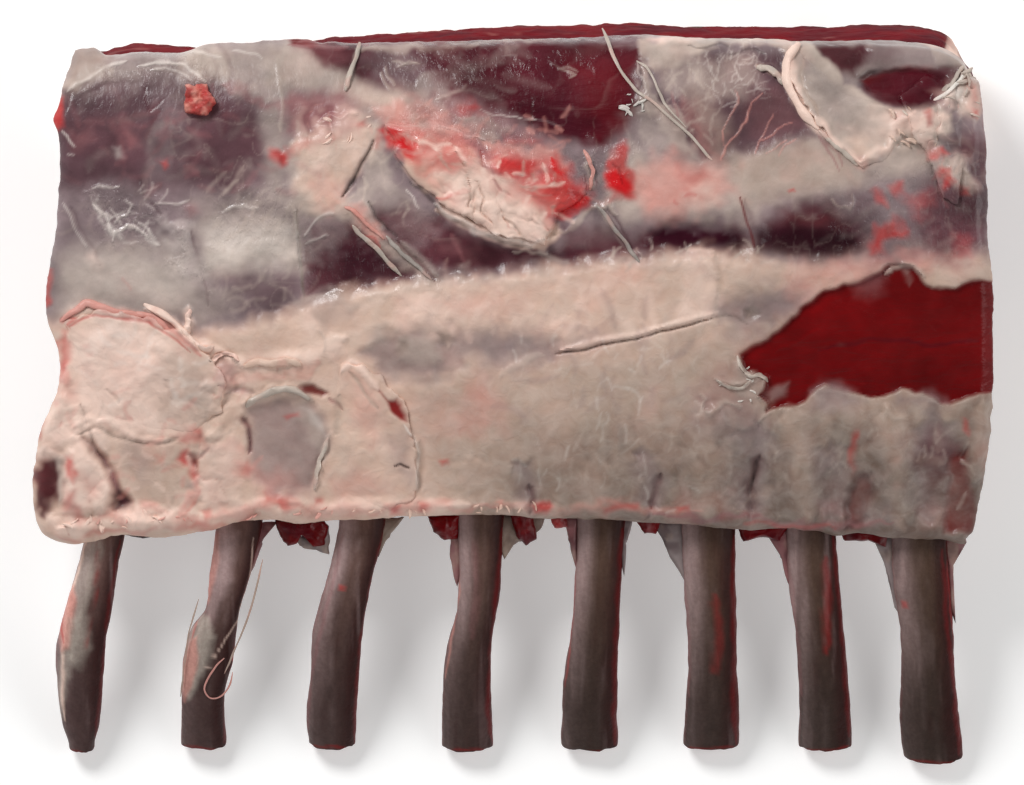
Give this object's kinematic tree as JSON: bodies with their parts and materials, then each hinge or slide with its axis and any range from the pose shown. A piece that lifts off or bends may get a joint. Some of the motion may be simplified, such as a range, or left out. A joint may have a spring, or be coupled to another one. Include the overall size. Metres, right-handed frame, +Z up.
{
  "type": "raw rack of lamb",
  "caption": "Raw frenched rack of lamb: bare rib bones reach out from a slab of lean under a trimmed fat cover, lying fat side up.",
  "frame": {"origin": "under the middle of the rack, at the height it rests on", "axes": "+X along the spine towards the end with the widest bone, -Y towards the bare rib tips, +Z up out of the fat side"},
  "size_m": [0.1918, 0.1492, 0.0498],
  "materials": {
    "lean": "wet raw lean meat under a thin grey skin",
    "fat": "moist cream fat with pink stains",
    "bone": "scraped raw bone, grey brown and damp",
    "scrap": "wet pink trimming"
  },
  "bodies": {
    "root": {"lean_meat": "lean", "fat_cover": "fat", "fat_pad_left": "fat", "fat_tab_left": "fat", "fat_flap_centre": "fat", "membrane_flap_right": "fat", "fat_lumps_right": "fat", "meat_scrap": "scrap", "rib_bone_1": "bone", "rib_bone_2": "bone", "rib_bone_3": "bone", "rib_bone_4": "bone", "rib_bone_5": "bone", "rib_bone_6": "bone", "rib_bone_7": "bone", "rib_bone_8": "bone"}
  },
  "joints": []
}
